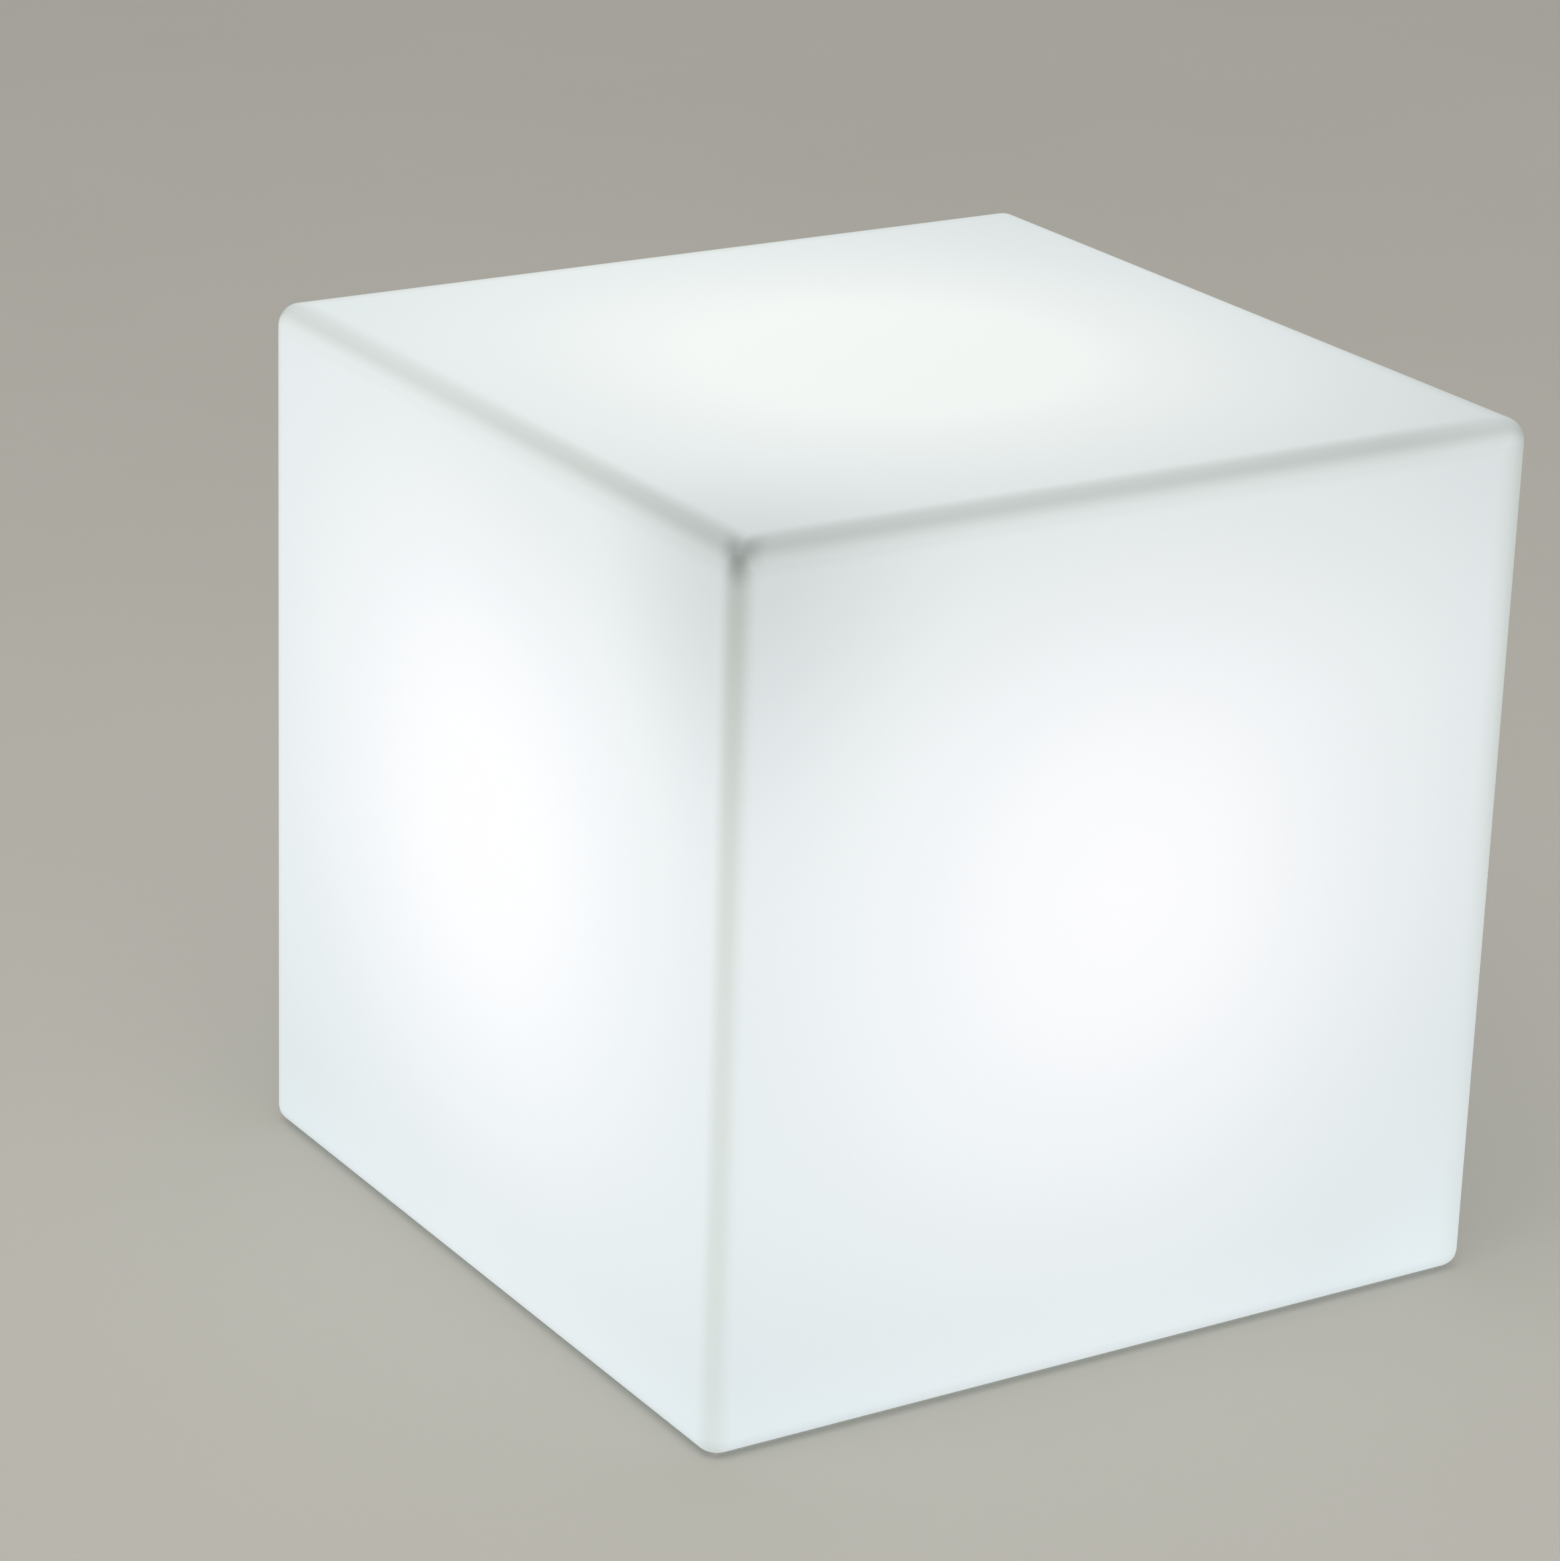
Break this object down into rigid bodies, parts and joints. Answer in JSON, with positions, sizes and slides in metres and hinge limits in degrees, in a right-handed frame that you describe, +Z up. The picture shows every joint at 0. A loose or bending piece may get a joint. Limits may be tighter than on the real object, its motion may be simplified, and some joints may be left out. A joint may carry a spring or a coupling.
{
  "type": "led cube light",
  "caption": "Free-standing cube light and seat: a rounded white translucent shell over a sealed battery light unit, with a push button and a stoppered charging socket in a recess underneath.",
  "frame": {"origin": "under the middle of the cube, on the floor that its feet stand on", "axes": "+Z up through the top face; X and Y square to the sides; the charging socket lies towards -X and the button towards +X"},
  "size_m": [0.43, 0.43, 0.43],
  "materials": {
    "shell_plastic": "satin, translucent white, lit from inside",
    "base_plastic": "fine moulded texture",
    "housing_plastic": "fine moulded texture",
    "gasket_rubber": "matt",
    "foot_rubber": "matt",
    "stopper_rubber": "matt silicone",
    "screw_steel": "stainless",
    "insert_brass": "turned",
    "cell_sleeve": "shrink sleeve",
    "bracket_plastic": "moulded",
    "nickel": "plain strip",
    "strap_webbing": "woven",
    "lead_sleeve": "smooth",
    "board_laminate": "solder mask",
    "component_plastic": "moulded",
    "column_aluminium": "extruded",
    "led_board_white": "white solder mask",
    "emitter": "phosphor",
    "dome_plastic": "frosted",
    "socket_plastic": "moulded",
    "contact_brass": "plated",
    "nut_steel": "plated",
    "switch_plastic": "moulded",
    "button_plastic": "satin",
    "spring_steel": "wire"
  },
  "bodies": {
    "cube": {"cube_shell": "shell_plastic", "threaded_inserts": "insert_brass", "rubber_feet": "foot_rubber", "foot_screws": "screw_steel", "base_plate": "base_plastic", "base_gasket": "gasket_rubber", "base_screws": "screw_steel", "battery_housing": "housing_plastic", "housing_seal": "gasket_rubber", "housing_screws": "screw_steel", "battery_cells": "cell_sleeve", "cell_brackets": "bracket_plastic", "nickel_strips": "nickel", "battery_strap": "strap_webbing", "battery_screws": "screw_steel", "battery_leads": "lead_sleeve", "control_board": "board_laminate", "board_components": "component_plastic", "board_screws": "screw_steel", "led_column": "column_aluminium", "led_boards": "led_board_white", "led_chips": "emitter", "led_top_board": "led_board_white", "column_screws": "screw_steel", "lead_grommet": "gasket_rubber", "led_leads": "lead_sleeve", "diffuser_dome": "dome_plastic", "dome_seal": "gasket_rubber", "dome_ring": "housing_plastic", "ring_screws": "screw_steel", "charge_socket": "socket_plastic", "socket_pin": "contact_brass", "socket_nut": "nut_steel", "plug_anchor": "stopper_rubber", "charge_leads": "lead_sleeve", "switch_body": "switch_plastic", "switch_seal": "gasket_rubber", "switch_nut": "nut_steel", "button_spring": "spring_steel", "switch_leads": "lead_sleeve"},
    "button": {"power_button": "button_plastic"},
    "stopper": {"charge_plug": "stopper_rubber"}
  },
  "joints": [
    {"name": "power_button_press", "type": "slide", "parent": "cube", "child": "button", "axis": [0, 0, 1], "range_m": [0, 0.0015], "stiffness_N_per_m": 900, "springref_m": -0.0015, "deforming": ["button_spring"]},
    {"name": "charge_plug_hinge", "type": "hinge", "parent": "cube", "child": "stopper", "pos_m": [-0.031, -0.026, 0.0264], "axis": [0, 1, 0], "range_deg": [0, 100]}
  ]
}
